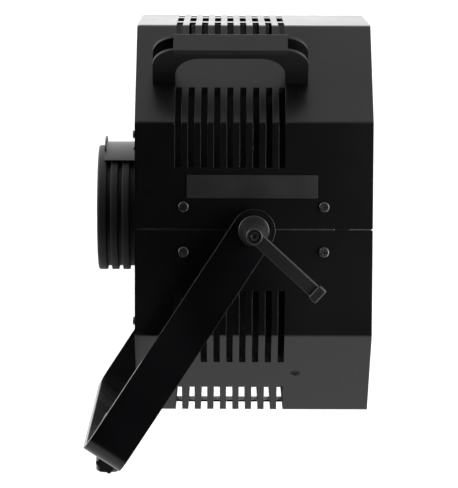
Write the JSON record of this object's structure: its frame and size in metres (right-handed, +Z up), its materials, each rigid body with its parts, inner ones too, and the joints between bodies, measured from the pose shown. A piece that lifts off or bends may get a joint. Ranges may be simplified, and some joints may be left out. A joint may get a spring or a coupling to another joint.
{
  "type": "fresnel spotlight",
  "caption": "Octagonal vented fresnel lamp housing with a rear collar for a flash head, tilting in a flat-bar yoke with a clamp lever on a stand socket.",
  "frame": {"origin": "centre of the mouth of the stand socket, where the stand stud enters", "axes": "+Z up out of the stand, +X the way the light leaves, +Y to the left seen from behind the lamp"},
  "size_m": [0.2702, 0.4341, 0.447],
  "materials": {
    "black_sheet": "fine-grained black powder coat, semi-gloss",
    "black_frame": "black powder coat on the inner sheet parts",
    "black_yoke": "smooth black powder coat, satin",
    "black_casting": "black coated casting, satin",
    "grey_plate": "dark grey blank name plate, satin",
    "latch_grey": "dark grey coated sheet",
    "black_screw": "black oxide steel",
    "dark_screw": "black coated steel",
    "plated_strip": "zinc-plated steel",
    "bright_steel": "plain steel",
    "bare_aluminium": "turned and anodised",
    "brass_insert": "turned",
    "black_rubber": "moulded, dull",
    "black_plastic": "moulded black polyamide, fine texture",
    "grip_plastic": "smooth soft-touch cover",
    "nylon_washer": "black nylon",
    "lens_glass": "pressed borosilicate glass"
  },
  "bodies": {
    "adapter": {"stand_socket": "black_casting"},
    "socket_lock": {"socket_knob": "black_plastic", "socket_screw": "bright_steel"},
    "yoke": {"yoke_bracket": "black_yoke", "knuckle": "black_casting", "knuckle_bolt": "black_screw", "tilt_bolt": "black_screw"},
    "tilt_lock": {"tilt_knob": "black_plastic", "tilt_knob_insert": "brass_insert"},
    "clamp_core": {"lever_insert": "brass_insert", "lever_screw": "black_screw", "lever_washer": "black_screw", "lever_spring": "bright_steel"},
    "clamp_lever": {"lever_handle": "black_casting"},
    "collar_latch": {"latch_plate": "latch_grey", "latch_pad": "black_rubber"},
    "housing": {"facet_screws": "dark_screw", "fresnel_lens": "lens_glass", "handle_screws": "black_screw", "head_collar": "black_rubber", "latch_bracket": "latch_grey", "latch_pin": "bright_steel", "left_friction_washer": "nylon_washer", "left_handle": "black_plastic", "left_handle_cap": "grip_plastic", "left_pivot_bolt": "black_screw", "left_pivot_washer": "black_screw", "left_seam_plate": "plated_strip", "left_side_plate": "bare_aluminium", "lens_frame": "black_frame", "lens_gasket": "black_rubber", "lens_ring": "black_frame", "lens_ring_screws": "black_screw", "lower_left_baffle": "black_frame", "lower_right_baffle": "black_frame", "lower_shell": "black_sheet", "mount_ring": "bare_aluminium", "mount_ring_screws": "black_screw", "name_plate": "grey_plate", "rear_panel": "black_sheet", "rear_screws": "black_screw", "right_friction_washer": "nylon_washer", "right_handle": "black_plastic", "right_handle_cap": "grip_plastic", "right_pivot_stud": "bright_steel", "right_seam_plate": "plated_strip", "right_side_plate": "bare_aluminium", "roof_baffle": "black_frame", "side_screws": "black_screw", "upper_left_baffle": "black_frame", "upper_right_baffle": "black_frame", "upper_shell": "black_sheet"}
  },
  "joints": [
    {"name": "stand_tilt", "type": "hinge", "parent": "adapter", "child": "yoke", "pos_m": [-0.00762, 0, 0.0332], "axis": [0, 1, 0], "range_deg": [-60, 18]},
    {"name": "head_tilt", "type": "hinge", "parent": "yoke", "child": "housing", "pos_m": [0.14161, 0, 0.263], "axis": [0, 1, 0], "range_deg": [-90, 90]},
    {"name": "lever_turn", "type": "hinge", "parent": "housing", "child": "clamp_core", "pos_m": [0.14161, -0.19, 0.263], "axis": [0, 1, 0], "range_deg": [-150, 30]},
    {"name": "lever_pull", "type": "slide", "parent": "clamp_core", "child": "clamp_lever", "axis": [0, -1, 0], "range_m": [0, 0.005], "stiffness_N_per_m": 600, "springref_m": -0.003, "deforming": ["lever_spring"]},
    {"name": "latch_open", "type": "hinge", "parent": "housing", "child": "collar_latch", "pos_m": [0.02711, 0, 0.3229], "axis": [0, 1, 0], "range_deg": [0, 30]},
    {"name": "tilt_lock_turn", "type": "hinge", "parent": "yoke", "child": "tilt_lock", "pos_m": [-0.00762, 0.014, 0.0332], "axis": [0, 1, 0], "range_deg": [-180, 20]},
    {"name": "socket_lock_turn", "type": "hinge", "parent": "adapter", "child": "socket_lock", "pos_m": [0, -0.0135, 0.014], "axis": [0, 1, 0], "range_deg": [-180, 20]}
  ]
}
